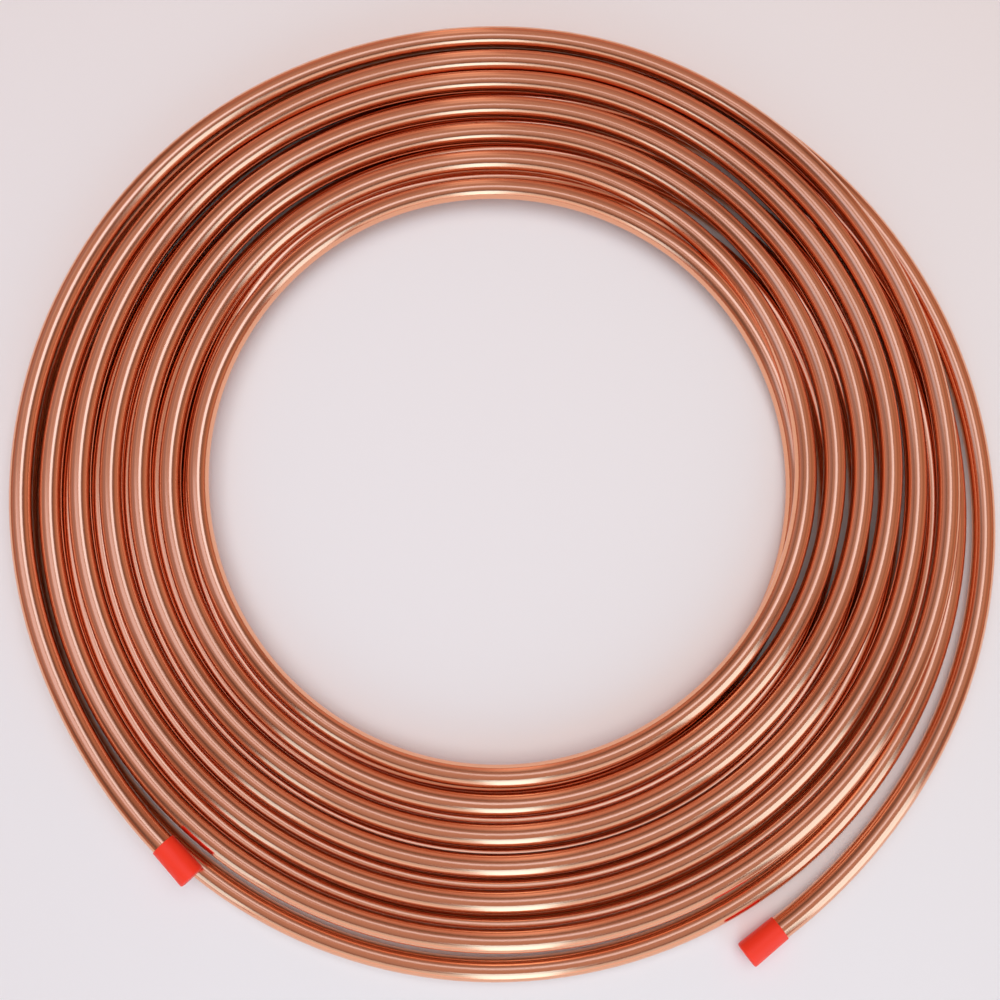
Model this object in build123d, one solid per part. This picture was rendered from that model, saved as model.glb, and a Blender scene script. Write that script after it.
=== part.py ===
from build123d import *
import math
import os

# Soft copper tube, 10 mm outside, wound as a flat coil of two layers
tube_diameter = 10.0
tube_wall = 0.8
tube_radius = tube_diameter / 2

# Winding: the upper turns lie in the grooves between the lower ones
hole_diameter = 261.6
turn_pitch = 13.3
upper_turns = 6
lower_turns = 5
layer_rise = math.sqrt(tube_diameter**2 - (turn_pitch / 2) ** 2)
lower_height = tube_radius
upper_height = tube_radius + layer_rise
first_upper_radius = hole_diameter / 2 + tube_radius
first_lower_radius = first_upper_radius + turn_pitch / 2

# Eight flats stand for a turn's round section and touch the true circle
flat_angle = 45
first_corner = flat_angle / 2
half_flat = tube_radius * math.tan(math.radians(first_corner))

# The outermost turn of each layer runs on into a loose end: (angle round the coil, distance from its axis).
# The lower one starts under the upper turns and comes round on the floor, then its end lifts a little.
lower_turn_route = [
    (425, 199.5),
    (390, 206.0),
    (360, 210.1),
    (315, 213.6),
    (250, 215.8),
    (150, 215.4),
    (50, 214.8),
]
lower_end_route = [
    (50, 214.8),
    (30, 217.2),
    (0, 222.1),
    (-30, 227.0),
    (-51, 230.5),
    (-58.6, 232.4),
]
upper_end_route = [
    (0, 204.0),
    (40, 207.8),
    (90, 212.8),
    (135, 215.4),
    (180, 215.1),
    (215, 214.3),
    (228.8, 216.2),
]
lower_turn_clearance = 0.04
lower_end_lift = 0.0045
# The upper end lies in a sloping plane: its height on the coil's axis and its slopes along x and y
upper_end_plane = (14.1, -0.0073, -0.0038)

# Push-on end caps
cap_length = 18.8
cap_depth = 17.0
cap_radius = 5.55
cap_edge = 0.6


def polar(angle, radius):
    return radius * math.cos(math.radians(angle)), radius * math.sin(math.radians(angle))


# Corners of the flats round a turn's centre, clockwise from one angle to another
def flat_corners(radius, height, start, stop):
    corner = math.hypot(tube_radius, half_flat)
    flats = round((start - stop) / flat_angle)
    offsets = [polar(start - flat_angle * i, corner) for i in range(flats + 1)]
    return [(radius + across, height + up) for across, up in offsets]


# How far from a turn's centre its flank, drawn up from a groove, meets the crest
def crest_half_width(groove_depth):
    across = turn_pitch / 2
    below = groove_depth - tube_radius
    reach = math.hypot(across, below)
    lean = math.asin(tube_radius / reach) + math.atan2(below, across)
    return across - groove_depth / math.tan(lean)


# Half of the coil's section seen from the side: crests of both layers, joined in their grooves
def coil_section():
    groove_depth = upper_height + tube_radius - 2 * lower_height
    half_crest = crest_half_width(groove_depth)
    upper_radii = [first_upper_radius + turn * turn_pitch for turn in range(upper_turns)]
    lower_radii = [first_lower_radius + turn * turn_pitch for turn in range(lower_turns)]
    top = upper_height + tube_radius
    points = flat_corners(upper_radii[0], upper_height, 180 + first_corner, 90 + first_corner)
    for inner, outer in zip(upper_radii, upper_radii[1:]):
        points.append((inner + half_crest, top))
        points.append((inner + turn_pitch / 2, top - groove_depth))
        points.append((outer - half_crest, top))
    points += flat_corners(upper_radii[-1], upper_height, 90 - first_corner, -first_corner)
    points += flat_corners(lower_radii[-1], lower_height, first_corner, first_corner - 90)
    for outer, inner in zip(lower_radii[::-1], lower_radii[-2::-1]):
        points.append((outer - half_crest, 0))
        points.append((outer - turn_pitch / 2, groove_depth))
        points.append((inner + half_crest, 0))
    points += flat_corners(lower_radii[0], lower_height, 270 - first_corner, 180 - first_corner)
    return points


def turned(outline):
    section = Plane.XZ * make_face(Polyline(*outline, close=True))
    return revolve(section, axis=Axis.Z)


# A run of arcs, each tangent to the one before it, through the points of a route
def tangent_run(points, heading):
    arcs = []
    for start, stop in zip(points, points[1:]):
        arc = TangentArc(start, stop, tangent=heading)
        heading = arc % 1
        arcs.append(arc)
    return arcs


# Level direction in which a route sets off, drifting evenly from its first stop to its second
def first_heading(route):
    (start, start_radius), (stop, stop_radius) = route[:2]
    swept = math.radians(stop - start)
    drift = (stop_radius - start_radius) / swept / start_radius
    outward = Vector(*polar(start, 1))
    forward = Vector(*polar(start + 90, 1))
    return (forward + outward * drift) * math.copysign(1, swept)


# Points of a route on a sloping plane
def laid_out(route, level, slope_x, slope_y):
    return [Vector(x, y, level + slope_x * x + slope_y * y) for x, y in (polar(*stop) for stop in route)]


# A flat-sided tube along a path, then a round bored run that its cap is pushed on to
def capped_tube(arcs):
    path = Wire(arcs)
    level_side = (path % 0).cross(Vector(0, 0, 1))
    section = Plane(origin=path @ 0, x_dir=level_side, z_dir=path % 0)
    flats = RegularPolygon(tube_radius, 360 // flat_angle, major_radius=False, rotation=first_corner)
    tube = sweep(section * flats, path=path)
    mouth = Plane(origin=path @ 1, z_dir=path % 1)
    capped_run = mouth * extrude(Circle(tube_radius), cap_depth)
    bore = mouth * extrude(Circle(tube_radius - tube_wall), cap_depth)
    return tube + capped_run, bore, mouth


def lower_outer_tube():
    level = tube_radius + lower_turn_clearance
    on_floor = tangent_run(laid_out(lower_turn_route, level, 0, 0), first_heading(lower_turn_route))
    bend = on_floor[-1] @ 1
    heading = on_floor[-1] % 1
    slope_x = lower_end_lift * heading.Y
    slope_y = -lower_end_lift * heading.X
    axis_level = level - slope_x * bend.X - slope_y * bend.Y
    lifted = tangent_run(laid_out(lower_end_route, axis_level, slope_x, slope_y), heading)
    return capped_tube(on_floor + lifted)


def upper_outer_tube():
    level, slope_x, slope_y = upper_end_plane
    heading = first_heading(upper_end_route)
    heading += Vector(0, 0, slope_x * heading.X + slope_y * heading.Y)
    return capped_tube(tangent_run(laid_out(upper_end_route, *upper_end_plane), heading))


# A cup turned about the tube's line, its mouth towards the coil
def end_cap(mouth):
    outline = [
        (0, cap_depth),
        (tube_radius, cap_depth),
        (tube_radius, 0),
        (cap_radius, 0),
        (cap_radius, cap_length - cap_edge),
        (cap_radius - cap_edge, cap_length),
        (0, cap_length),
    ]
    return mouth * turned(outline)


def main():
    os.makedirs("parts", exist_ok=True)
    lower_tube, lower_bore, lower_mouth = lower_outer_tube()
    upper_tube, upper_bore, upper_mouth = upper_outer_tube()
    copper_tube = turned(coil_section()).fuse(lower_tube, upper_tube) - lower_bore - upper_bore
    pieces = {
        "copper_tube": copper_tube,
        "lower_end_cap": end_cap(lower_mouth),
        "upper_end_cap": end_cap(upper_mouth),
    }
    for name, piece in pieces.items():
        solids = piece.solids()
        assert len(solids) == 1, name
        export_step(solids[0], f"parts/{name}.step")
        print(name, round(piece.volume / 1000, 2), "cm3", piece.bounding_box())


main()
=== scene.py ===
import math

import bpy
import numpy as np
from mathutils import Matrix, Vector


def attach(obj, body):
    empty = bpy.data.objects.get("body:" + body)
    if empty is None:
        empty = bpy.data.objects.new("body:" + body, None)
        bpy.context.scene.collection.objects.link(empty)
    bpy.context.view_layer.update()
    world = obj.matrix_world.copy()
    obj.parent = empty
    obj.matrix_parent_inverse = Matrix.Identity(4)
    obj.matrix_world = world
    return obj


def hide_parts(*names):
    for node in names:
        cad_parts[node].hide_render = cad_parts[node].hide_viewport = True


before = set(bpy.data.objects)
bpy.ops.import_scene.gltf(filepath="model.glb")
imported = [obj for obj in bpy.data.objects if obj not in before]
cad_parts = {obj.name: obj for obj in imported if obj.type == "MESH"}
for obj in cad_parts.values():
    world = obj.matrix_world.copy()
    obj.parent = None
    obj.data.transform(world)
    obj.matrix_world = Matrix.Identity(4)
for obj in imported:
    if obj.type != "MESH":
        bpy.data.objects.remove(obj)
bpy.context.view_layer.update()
mm = 0.001


def linearFromHex(text):
    # each sRGB channel back through its curve
    channels = [int(text[i:i + 2], 16) / 255 for i in (1, 3, 5)]
    return tuple(c / 12.92 if c <= 0.04045 else ((c + 0.055) / 1.055) ** 2.4 for c in channels)


def addNode(tree, kind, settings=None, inputs=None):
    # a node with its settings, and its inputs as values or as sockets to link from
    node = tree.nodes.new(kind)
    for name, value in (settings or {}).items():
        setattr(node, name, value)
    for name, value in (inputs or {}).items():
        if isinstance(value, bpy.types.NodeSocket):
            tree.links.new(value, node.inputs[name])
        else:
            node.inputs[name].default_value = value
    return node


def addRamp(tree, factor, stops):
    # colour ramp through (place, colour) stops
    ramp = addNode(tree, "ShaderNodeValToRGB", inputs={"Fac": factor})
    band = ramp.color_ramp
    while len(band.elements) < len(stops):
        band.elements.new(0.5)
    for element, (place, colour) in zip(band.elements, stops):
        element.position = place
        element.color = (*colour, 1)
    return ramp


def newMaterial(name):
    material = bpy.data.materials.new(name)
    material.use_nodes = True
    material.node_tree.nodes.clear()
    return material, material.node_tree


def easeIn(share):
    # 0 below 0, 1 above 1, level at both ends: s^2 (3 - 2 s)
    share = np.clip(share, 0, 1)
    return share * share * (3 - 2 * share)


def anglesAround(count):
    return np.linspace(0, 2 * np.pi, count, endpoint=False)


# the winding, in mm and degrees; the tube starts at its loose lower end and winds inwards on the floor,
# climbs at the rim of the hole and winds outwards on top, so its angle runs on past 360
coil = {
    "tubeDiameter": 10.0,
    "ringStep": 2.0,
    "facesAround": 32,
    # loose lower end and first turn: (angle, radius)
    "firstTurn": [
        (-58.6, 232.4), (-51, 230.5), (-30, 227.0), (0, 222.1), (30, 217.2), (50, 214.8), (90, 214.8),
        (150, 215.4), (250, 215.8), (315, 213.6), (360, 209.6), (405, 204.2), (440, 199.5),
    ],
    # radius of each lower turn where it lies quietly, then its steps in to the next:
    # (angle, share of the way in, mm it stands out on the first of them, mm on the others)
    "lowerRests": [196.9, 181.2, 167.8, 154.0, 141.0],
    "lowerRestAt": 250,
    "lowerSteps": [
        (285, 0, 0.6, 0.4), (330, 0, 2.4, 0.2), (360, 0, 2.6, -1.4), (385, 0.08, 1.3, -1.4),
        (420, 0.5, 0.6, 0.3), (460, 0.92, 2.4, 3.0), (510, 1, 2.6, 2.6), (560, 1, 0.9, 0.9),
    ],
    # innermost turn, and the stretch of it that climbs to the upper layer
    "rim": [
        (1930, 147.0), (2010, 142.6), (2100, 139.2), (2145, 137.8), (2175, 137.2), (2190, 136.3),
        (2205, 135.5), (2235, 135.6), (2255, 136.2), (2285, 136.8),
    ],
    "climb": (2160, 2215),
    # radius of each upper turn where it lies quietly, how far it stands out at the back of the coil,
    # and how late it sets off outwards
    "upperFrom": 1800,
    "upperRests": [134.7, 146.6, 159.2, 171.6, 186.3, 202.0, 214.4],
    "upperSwells": [2.2, 4.0, 6.4, 7.2, 6.0, 1.4, 1.4],
    "upperLate": [0, 0, 0, 0, 0.5, 1],
    "upperRestAt": 645,
    # (angle, share of the way out to the next turn, share when it sets off late)
    "upperSteps": [
        (675, 0.04, 0.02), (690, 0.11, 0.05), (705, 0.2, 0.09), (720, 0.31, 0.14), (750, 0.55, 0.34),
        (780, 0.76, 0.63), (795, 0.87, 0.74), (810, 0.91, 0.78), (825, 0.94, 0.81), (840, 0.98, 0.91),
        (850, 1.0, 0.98),
    ],
    # (angle, how much of its standing out is left)
    "upperSettles": [(510, 0.84), (540, 0.52), (570, 0.24), (600, 0.05)],
    # loose upper end, and the angle kept free before it
    "lastEnd": [(4510, 214.6), (4535, 214.3), (4548.8, 216.2)],
    "lastEndClear": 10,
    # heights: widest sideways gap that a turn sinks into, as a share of the diameter, the rings it is
    # eased over and the depth it may cut a corner by
    "nestReach": 0.68,
    "easeRings": (31, 15),
    "nestSlack": 0.4,
    # lift of the loose ends in mm, and the degrees it takes
    "lowerLift": 1.3,
    "lowerLiftFrom": 30,
    "lowerLiftOver": 90,
    "upperLift": 0.6,
    "upperLiftOver": 60,
}


def smoothThrough(stops, at):
    # natural cubic spline: second slopes from one tridiagonal solve, then a cubic between stops
    x, y = np.array(stops, float).T
    h = np.diff(x)
    n = len(x)
    a = np.eye(n)
    b = np.zeros(n)
    i = np.arange(1, n - 1)
    a[i, i - 1], a[i, i], a[i, i + 1] = h[:-1], 2 * (h[:-1] + h[1:]), h[1:]
    b[i] = 6 * (np.diff(y)[1:] / h[1:] - np.diff(y)[:-1] / h[:-1])
    m = np.linalg.solve(a, b)
    k = np.clip(np.searchsorted(x, at) - 1, 0, n - 2)
    left, right, width = at - x[k], x[k + 1] - at, h[k]
    return (
        (m[k] * right**3 + m[k + 1] * left**3) / (6 * width)
        + (y[k] / width - m[k] * width / 6) * right
        + (y[k + 1] / width - m[k + 1] * width / 6) * left
    )


def bellMean(values, width):
    # each value as the mean of its neighbours under a bell, with the end values held
    bell = np.hanning(width) / np.hanning(width).sum()
    return np.convolve(np.pad(values, width // 2, mode="edge"), bell, mode="valid")


def windingStops(spec):
    # radius at each named angle: one loop lays the lower turns inwards, one the upper turns outwards
    stops = list(spec["firstTurn"]) + spec["rim"]
    rests = spec["lowerRests"]
    for turn, rest in enumerate(rests):
        start = 360 * (turn + 1)
        stops.append((start + spec["lowerRestAt"], rest))
        if turn + 1 < len(rests):
            stops += [
                (start + a, rest + (rests[turn + 1] - rest) * share + (firstOut if turn == 0 else out))
                for a, share, firstOut, out in spec["lowerSteps"]
            ]
    rests, swells = spec["upperRests"], spec["upperSwells"]
    for turn, rest in enumerate(rests):
        start = spec["upperFrom"] + 360 * turn
        stops += [(start + a, rest + swells[turn] * share) for a, share in spec["upperSettles"]]
        if turn + 1 < len(rests):
            peak = rests[turn + 1] + swells[turn + 1]
            late = spec["upperLate"][turn]
            stops.append((start + spec["upperRestAt"], rest))
            stops += [
                (start + a, rest + (peak - rest) * (share + (lag - share) * late))
                for a, share, lag in spec["upperSteps"]
            ]
    last = spec["lastEnd"]
    return sorted(stop for stop in stops if stop[0] < last[0][0] - spec["lastEndClear"]) + last


def windingPath(spec):
    # radius is a spline of the angle; the lower layer lies on the floor, and the upper one rests on
    # the turns below it: height = sqrt(diameter^2 - sideways gap^2), eased along the tube
    stops = windingStops(spec)
    first, last = stops[0][0], stops[-1][0]
    degrees = np.linspace(first, last, int((last - first) / spec["ringStep"]) + 1)
    radius = smoothThrough(stops, degrees)
    diameter = spec["tubeDiameter"]
    climbFrom, climbTo = spec["climb"]
    lower = degrees < climbFrom
    lowerTurns = np.arange(-1, int(climbFrom // 360) + 1)
    others = degrees[:, None] % 360 + 360 * lowerTurns[None, :]
    laid = (others >= first) & (others <= climbFrom)
    apart = np.abs(np.interp(others, degrees[lower], radius[lower]) - radius[:, None])
    gap = np.where(laid, apart, np.inf).min(axis=1)
    nested = np.sqrt(diameter**2 - np.minimum(gap, spec["nestReach"] * diameter) ** 2)
    wide, narrow = spec["easeRings"]
    eased = np.maximum(bellMean(nested, wide), nested - spec["nestSlack"])
    eased = bellMean(eased, narrow)
    height = diameter / 2 + easeIn((degrees - climbFrom) / (climbTo - climbFrom)) * eased
    height += spec["lowerLift"] * easeIn((spec["lowerLiftFrom"] - degrees) / spec["lowerLiftOver"])
    height += spec["upperLift"] * easeIn((degrees - last + spec["upperLiftOver"]) / spec["upperLiftOver"])
    angle = np.radians(degrees)
    return np.stack([radius * np.cos(angle), radius * np.sin(angle), height], axis=1) * mm


def capLine(node):
    # a cap's middle and the line it lies along, which is the way its corners spread most
    corners = np.empty(len(node.data.vertices) * 3)
    node.data.vertices.foreach_get("co", corners)
    corners = np.unique(corners.reshape(-1, 3).round(6), axis=0)
    low, high = corners.min(axis=0), corners.max(axis=0)
    middle = (low + high) / 2
    spread, ways = np.linalg.eigh(np.cov((corners - middle).T))
    return middle, ways[:, np.argmax(spread)]


def meetCap(path, line, taper, depth):
    # the tube's end is eased on to its cap's line and runs on into the cap
    mouth, axis = line
    along = np.concatenate([[0], np.cumsum(np.linalg.norm(np.diff(path, axis=0), axis=1))])
    path = path + (mouth - path[0]) * easeIn(1 - along / taper)[:, None]
    inside = mouth + axis * np.linspace(depth, 0, 8, endpoint=False)[:, None]
    return np.concatenate([inside, path])


def tubeRings(path, radius, facesAround):
    # each ring is a circle square to the path: place + r (cos b side + sin b up)
    tangent = np.gradient(path, axis=0)
    tangent /= np.linalg.norm(tangent, axis=1)[:, None]
    side = np.cross(tangent, [0, 0, 1])
    side /= np.linalg.norm(side, axis=1)[:, None]
    up = np.cross(side, tangent)
    b = anglesAround(facesAround)[None, :, None]
    return path[:, None, :] + radius * (np.cos(b) * side[:, None, :] + np.sin(b) * up[:, None, :])


def meshFromRings(name, grid):
    # rows of rings joined by quads, with one face closing each end, all facing outwards
    rows, columns = grid.shape[:2]
    index = np.arange(rows * columns).reshape(rows, columns)
    beside = np.roll(index, -1, axis=1)
    quads = np.stack([index[:-1], index[1:], beside[1:], beside[:-1]], axis=-1).reshape(-1, 4)
    ends = [index[0].tolist(), index[-1][::-1].tolist()]
    mesh = bpy.data.meshes.new(name)
    mesh.from_pydata(grid.reshape(-1, 3).tolist(), [], quads.tolist() + ends)
    mesh.polygons.foreach_set("use_smooth", np.ones(len(mesh.polygons), bool))
    mesh.update()
    piece = bpy.data.objects.new(name, mesh)
    bpy.context.scene.collection.objects.link(piece)
    return piece


def markPlaces(tube, along, radius, facesAround):
    # where each corner is on the tube, in mm: (r cos b, r sin b, distance from the tube's start)
    b = anglesAround(facesAround)
    places = np.empty((len(along), facesAround, 3))
    places[..., 0] = radius * np.cos(b)[None, :]
    places[..., 1] = radius * np.sin(b)[None, :]
    places[..., 2] = along[:, None]
    layer = tube.data.attributes.new("tubePlace", "FLOAT_VECTOR", "POINT")
    layer.data.foreach_set("vector", places.ravel())


# fine drawing lines: noise squeezed across the tube and stretched along it, per mm
copper = {
    "colour": "#F7B590",
    "roughness": 0.16,
    "lineScale": (2.2, 2.2, 0.012),
    "lineDetail": 3.0,
    "lineStrength": 0.04,
    "lineDepth": 0.02,
}


def copperMaterial(spec):
    # soft copper, drawn through a polished die: mirror-bright, with fine lines along the tube
    material, tree = newMaterial("brightDrawnCopper")
    place = addNode(tree, "ShaderNodeAttribute", {"attribute_name": "tubePlace"})
    stretch = addNode(tree, "ShaderNodeMapping", inputs={
        "Vector": place.outputs["Vector"], "Scale": spec["lineScale"],
    })
    lines = addNode(tree, "ShaderNodeTexNoise", inputs={
        "Vector": stretch.outputs[0], "Scale": 1.0, "Detail": spec["lineDetail"],
    })
    relief = addNode(tree, "ShaderNodeBump", inputs={
        "Height": lines.outputs["Fac"], "Strength": spec["lineStrength"], "Distance": spec["lineDepth"] * mm,
    })
    shader = addNode(tree, "ShaderNodeBsdfPrincipled", inputs={
        "Base Color": (*linearFromHex(spec["colour"]), 1),
        "Metallic": 1.0,
        "Roughness": spec["roughness"],
        "Normal": relief.outputs[0],
    })
    addNode(tree, "ShaderNodeOutputMaterial", inputs={"Surface": shader.outputs[0]})
    return material


def redPlastic():
    # low-density polyethylene, moulded: soft, slightly waxy, matt
    material, tree = newMaterial("mouldedPolyethylene")
    shader = addNode(tree, "ShaderNodeBsdfPrincipled", inputs={
        "Base Color": (*linearFromHex("#FF3A1E"), 1),
        "Roughness": 0.48,
        "Subsurface Weight": 0.15,
        "Subsurface Radius": (1.0, 0.3, 0.1),
        "Subsurface Scale": 1.0 * mm,
    })
    addNode(tree, "ShaderNodeOutputMaterial", inputs={"Surface": shader.outputs[0]})
    return material


# end caps, in mm: a cup with a bore, a wall that grows from its mouth to its closed end, a small lip
# round the mouth, a rounded far edge and a shallow dish in the end
cap = {
    "length": 18.8,
    "depth": 17.0,
    "clearance": 0.02,
    "tubeShort": 0.2,
    "tubeTaper": 90.0,
    "mouthRadius": 5.4,
    "endRadius": 5.75,
    "boreEndGap": 0.1,
    "boreChamfer": (0.05, 0.1),
    "lipDrops": (0.12, 0.03),
    "lipTurn": 0.07,
    "lipLength": 0.25,
    "edgeRound": 0.9,
    "dishRim": (0.6, 0.9),
    "dishDepth": 0.15,
    "poleRadius": 0.02,
    "facesAround": 64,
}


def capProfile(spec, bore):
    # (along, radius) from the bottom of the bore out of the mouth and back over the outside to the end:
    # the wall's radius grows evenly, and the far edge is a quarter round
    length, edge, mouth = spec["length"], spec["edgeRound"], spec["mouthRadius"]
    boreEnd = spec["depth"] - spec["boreEndGap"]
    chamferAlong, chamferOut = spec["boreChamfer"]
    lipLow, lipHigh = spec["lipDrops"]
    rimOut, rimIn = spec["dishRim"]
    end = spec["endRadius"] - edge
    outside = np.linspace(spec["lipLength"], length - edge, 9)
    wall = mouth + (spec["endRadius"] - mouth) * outside / length
    turn = np.linspace(0, np.pi / 2, 7)[1:]
    inner = [(boreEnd, spec["poleRadius"]), (boreEnd, bore), (chamferAlong, bore), (0.0, bore + chamferOut)]
    lip = [(0.0, mouth - lipLow), (spec["lipTurn"], mouth - lipHigh)]
    outer = list(zip(outside, wall))
    rounded = list(zip(length - edge + edge * np.sin(turn), end + edge * np.cos(turn)))
    floor = length - spec["dishDepth"]
    dish = [(length, end - rimOut), (floor, end - rimIn), (floor, spec["poleRadius"])]
    return np.array(inner + lip + outer + rounded + dish).T * mm


def cupOnLine(mouth, axis, profile, facesAround):
    # the profile turned about the cap's line: mouth + along axis + radius (cos b side + sin b up)
    along, radius = profile[:, :, None, None]
    side = np.cross(axis, [0, 0, 1])
    side /= np.linalg.norm(side)
    up = np.cross(side, axis)
    b = anglesAround(facesAround)[None, :, None]
    return mouth + along * axis + radius * (np.cos(b) * side + np.sin(b) * up)


path = windingPath(coil)
capLines = {}
for nodeName, toward in (("lower_end_cap", path[0] - path[3]), ("upper_end_cap", path[-1] - path[-4])):
    middle, axis = capLine(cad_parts[nodeName])
    axis = axis * math.copysign(1, float(np.dot(axis, toward)))
    capLines[nodeName] = (middle - axis * cap["length"] / 2 * mm, axis)
inCap = (cap["depth"] - cap["tubeShort"]) * mm
taper = cap["tubeTaper"] * mm
path = meetCap(path, capLines["lower_end_cap"], taper, inCap)
path = meetCap(path[::-1], capLines["upper_end_cap"], taper, inCap)[::-1]
tubeRadius = coil["tubeDiameter"] / 2
tube = meshFromRings("woundTube", tubeRings(path, tubeRadius * mm, coil["facesAround"]))
along = np.concatenate([[0], np.cumsum(np.linalg.norm(np.diff(path, axis=0), axis=1))])
markPlaces(tube, along / mm, tubeRadius, coil["facesAround"])
tube.data.materials.append(copperMaterial(copper))
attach(tube, "root")
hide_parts("copper_tube")
print("tube wound:", round(along[-1], 3), "m,", len(path), "rings")

plastic = redPlastic()
profile = capProfile(cap, tubeRadius + cap["clearance"])
for nodeName, pieceName in (("lower_end_cap", "lowerCap"), ("upper_end_cap", "upperCap")):
    mouth, axis = capLines[nodeName]
    piece = meshFromRings(pieceName, cupOnLine(mouth, axis, profile, cap["facesAround"]))
    piece.data.materials.append(plastic)
    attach(piece, "root")
    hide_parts(nodeName)
print("caps pushed on")


def layFloor(reach):
    # a level square, reach metres each way
    corners = [(-reach, -reach, 0), (reach, -reach, 0), (reach, reach, 0), (-reach, reach, 0)]
    mesh = bpy.data.meshes.new("floor")
    mesh.from_pydata(corners, [], [(0, 1, 2, 3)])
    floor = bpy.data.objects.new("floor", mesh)
    bpy.context.scene.collection.objects.link(floor)
    material, tree = newMaterial("paleFloor")
    diffuse = addNode(tree, "ShaderNodeBsdfDiffuse", inputs={"Color": (0.87, 0.87, 0.87, 1)})
    addNode(tree, "ShaderNodeOutputMaterial", inputs={"Surface": diffuse.outputs[0]})
    mesh.materials.append(material)


def studioWorld():
    # the room by height above the horizon: brown walls, a darker band, a paler ceiling
    world = bpy.data.worlds.new("studio")
    bpy.context.scene.world = world
    world.use_nodes = True
    tree = world.node_tree
    tree.nodes.clear()
    way = addNode(tree, "ShaderNodeTexCoord")
    parts = addNode(tree, "ShaderNodeSeparateXYZ", inputs={"Vector": way.outputs["Generated"]})
    room = addRamp(tree, parts.outputs["Z"], [
        (0.0, (0.38, 0.18, 0.12)),
        (0.3, (0.38, 0.2, 0.15)),
        (0.44, (0.24, 0.13, 0.1)),
        (0.6, (0.14, 0.08, 0.06)),
        (0.72, (0.22, 0.14, 0.12)),
        (0.86, (0.42, 0.3, 0.27)),
        (1.0, (0.52, 0.36, 0.31)),
    ])
    background = addNode(tree, "ShaderNodeBackground", inputs={
        "Color": room.outputs["Color"], "Strength": 1.0,
    })
    addNode(tree, "ShaderNodeOutputWorld", inputs={"Surface": background.outputs[0]})


def softBox(name, place, aim, size, colour, spread=180, mirrored=True):
    # a lamp panel facing its aim, in metres; power = radiance x pi x area
    light = bpy.data.lights.new(name, "AREA")
    light.shape = "RECTANGLE"
    light.size, light.size_y = size
    brightness = max(colour)
    light.energy = brightness * math.pi * size[0] * size[1]
    light.color = [c / brightness for c in colour]
    light.spread = math.radians(spread)
    lamp = bpy.data.objects.new(name, light)
    lamp.location = place
    lamp.visible_glossy = mirrored
    lamp.rotation_euler = (Vector(place) - Vector(aim)).to_track_quat("Z", "Y").to_euler()
    bpy.context.scene.collection.objects.link(lamp)


# the fill lights floor and plastic to a plain level and isn't mirrored in the copper; what the copper
# mirrors is two thin overhead panels, strips in front and at the sides, and four dim walls
softBox("fill", (0, 0, 1.4), (0, 0, 0), (1.5, 1.5), (1.6, 1.55, 1.5), mirrored=False)
softBox("overheadRight", (0.15, 0.12, 0.95), (-0.2, 0, 0), (0.34, 0.4), (0.15, 0.25, 0.38), 80)
softBox("overheadLeft", (-0.38, -0.02, 0.85), (0, 0, 0), (0.3, 0.5), (0.34, 0.52, 0.8))
softBox("frontStrip", (0.03, -0.7, 0.33), (0, -0.2, 0), (0.14, 0.62), (0.8, 1.6, 2.2))
softBox("frontWall", (0, -1.6, 0.55), (0, 0, 0.1), (2.2, 1.3), (0.5, 0.62, 0.7))
softBox("rightStrip", (0.83, -0.69, 0.5), (0, 0, 0), (0.4, 1.1), (0.9, 1.5, 2.0))
softBox("leftStrip", (-0.7, -0.86, 0.42), (0, 0, 0), (0.2, 0.7), (0.6, 1.1, 1.5))
softBox("backStrip", (-0.06, 0.8, 0.4), (0, 0.2, 0), (0.1, 0.8), (0.4, 0.35, 0.32))
softBox("backWall", (0, 0.8, 0.35), (0, 0.2, 0), (1.0, 0.6), (0.22, 0.12, 0.1))
softBox("leftWall", (-0.65, 0.1, 0.45), (-0.2, 0, 0), (0.8, 0.5), (0.2, 0.17, 0.2))
softBox("rightWall", (0.65, 0.15, 0.4), (0.2, 0, 0), (0.8, 0.5), (0.2, 0.12, 0.08))
layFloor(6.0)
studioWorld()
print("floor and lights set")

# camera, in degrees and mm: off the vertical towards the near side, half a metre from the coil;
# the middle of the hole stands at holeAt in a picture imageSize pixels wide and high
view = {
    "tilt": 10.0,
    "distance": 515.0,
    "aimHeight": 11.9,
    "pixelsPerMm": 2.2,
    "holeAt": (497.5, 470.5),
    "imageSize": 1000,
    "sensorWidth": 36,
}
tilt = math.radians(view["tilt"])
imageSize = view["imageSize"]
camera = bpy.data.objects.new("camera", bpy.data.cameras.new("camera"))
camera.location = (
    0,
    -view["distance"] * math.sin(tilt) * mm,
    (view["aimHeight"] + view["distance"] * math.cos(tilt)) * mm,
)
camera.rotation_euler = (tilt, 0, 0)
camera.data.sensor_width = view["sensorWidth"]
camera.data.lens = view["sensorWidth"] * view["pixelsPerMm"] * view["distance"] / imageSize
camera.data.shift_x = (imageSize / 2 - view["holeAt"][0]) / imageSize
camera.data.shift_y = (view["holeAt"][1] - imageSize / 2) / imageSize
camera.data.clip_start = 0.01
bpy.context.scene.collection.objects.link(camera)
bpy.context.scene.camera = camera
bpy.context.scene.view_settings.view_transform = "Standard"
